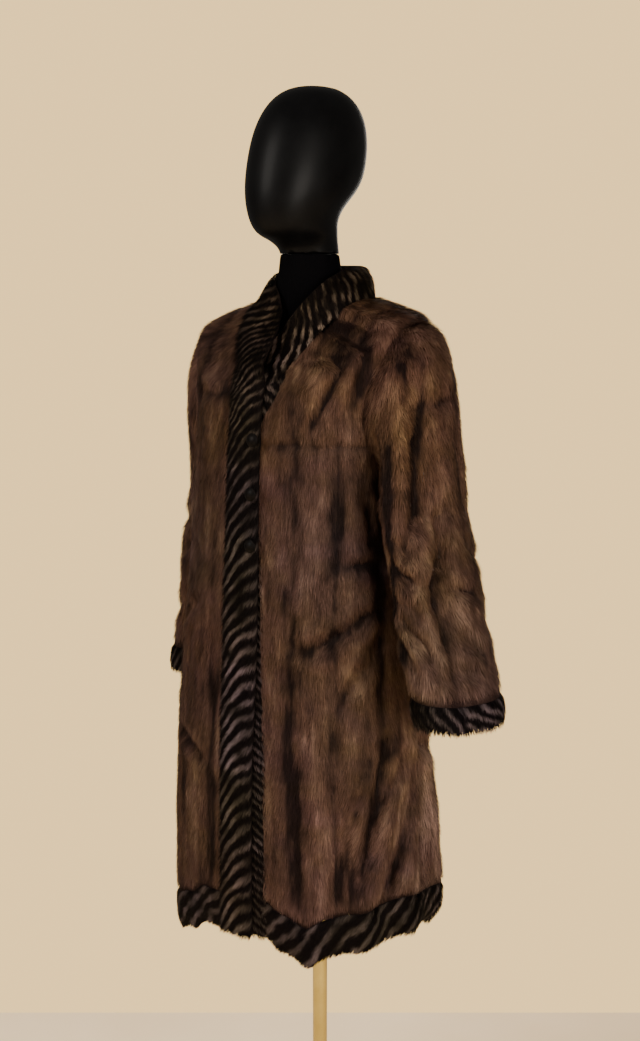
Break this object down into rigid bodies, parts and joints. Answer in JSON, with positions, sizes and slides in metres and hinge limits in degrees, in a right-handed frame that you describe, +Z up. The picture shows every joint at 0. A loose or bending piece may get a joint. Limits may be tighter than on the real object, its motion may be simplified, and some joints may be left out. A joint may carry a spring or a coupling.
{
  "type": "fur coat on dress form",
  "caption": "Three-quarter length brown mink coat with a striped collar, front bands, cuffs and hem, buttoned on a limbless form with a plain egg-shaped head, pole and round base.",
  "frame": {"origin": "middle of the underside of the stand's round base", "axes": "+Z up; the coat faces -Y; +X is the wearer's left"},
  "size_m": [0.6962, 0.3566, 1.7405],
  "materials": {
    "mink": "soft brown mink in vertical strips, each with a darker line down its middle",
    "striped_fur": "black-brown fur with narrow grey-brown slanting stripes",
    "button_horn": "polished dark horn",
    "black_cloth": "matt black jersey",
    "black_gloss": "smooth black lacquer",
    "brass": "satin"
  },
  "bodies": {
    "root": {"coat_back": "mink", "back_yoke": "mink", "front_left": "mink", "front_right": "mink", "sleeve_left": "mink", "sleeve_lower_left": "mink", "sleeve_right": "mink", "sleeve_lower_right": "mink", "band_left": "striped_fur", "band_right": "striped_fur", "collar_left": "striped_fur", "collar_right": "striped_fur", "cuff_left": "striped_fur", "cuff_right": "striped_fur", "hem_back": "striped_fur", "hem_left": "striped_fur", "hem_right": "striped_fur", "button_1": "button_horn", "button_2": "button_horn", "button_3": "button_horn", "form_torso": "black_cloth", "form_head": "black_gloss", "stand_pole": "brass", "stand_socket": "brass", "stand_base": "brass"}
  },
  "joints": []
}
